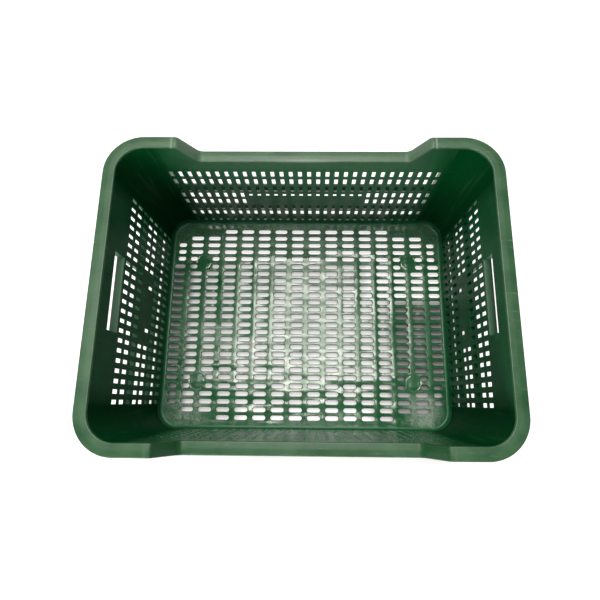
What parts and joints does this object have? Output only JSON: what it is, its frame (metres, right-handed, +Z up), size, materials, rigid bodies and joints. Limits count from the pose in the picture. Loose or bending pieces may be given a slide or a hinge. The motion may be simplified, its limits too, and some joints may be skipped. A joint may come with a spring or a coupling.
{
  "type": "grape harvest tub",
  "caption": "Open-topped rectangular harvest tub with slotted floor, perforated walls, a flat rim that rises over the short ends, and a hand-hold in each end.",
  "frame": {"origin": "centre of the base on the ground, under the middle of the tub", "axes": "+X along the tub towards one hand-hold, +Y across it, +Z up through the open top"},
  "size_m": [0.502, 0.388, 0.245],
  "materials": {
    "wall_green": "moulded semi-gloss",
    "rim_green": "worn satin",
    "floor_green": "moulded semi-gloss",
    "rib_green": "moulded semi-gloss"
  },
  "bodies": {
    "root": {"floor_grid": "floor_green", "foot_front_left": "floor_green", "foot_front_right": "floor_green", "foot_back_left": "floor_green", "foot_back_right": "floor_green", "floor_spine": "floor_green", "floor_rib_front": "floor_green", "floor_rib_middle": "floor_green", "floor_rib_back": "floor_green", "base_rail_front": "rib_green", "base_rail_back": "rib_green", "base_rail_left": "rib_green", "base_rail_right": "rib_green", "base_corner_front_left": "rib_green", "base_corner_front_right": "rib_green", "base_corner_back_left": "rib_green", "base_corner_back_right": "rib_green", "wall_front": "wall_green", "wall_back": "wall_green", "wall_left": "wall_green", "wall_right": "wall_green", "shoulder_front_left": "wall_green", "shoulder_front_right": "wall_green", "shoulder_back_left": "wall_green", "shoulder_back_right": "wall_green", "corner_front_left": "wall_green", "corner_front_right": "wall_green", "corner_back_left": "wall_green", "corner_back_right": "wall_green", "cheek_front_left": "wall_green", "cheek_front_right": "wall_green", "cheek_back_left": "wall_green", "cheek_back_right": "wall_green", "grip_left": "wall_green", "grip_right": "wall_green", "sill_left": "rib_green", "sill_right": "rib_green", "ribs_front": "rib_green", "ribs_back": "rib_green", "ribs_left": "rib_green", "ribs_right": "rib_green", "rim_front": "rim_green", "rim_back": "rim_green", "rim_left": "rim_green", "rim_right": "rim_green", "ramp_front_left": "rim_green", "ramp_front_right": "rim_green", "ramp_back_left": "rim_green", "ramp_back_right": "rim_green", "rim_corner_front_left": "rim_green", "rim_corner_front_right": "rim_green", "rim_corner_back_left": "rim_green", "rim_corner_back_right": "rim_green"}
  },
  "joints": []
}
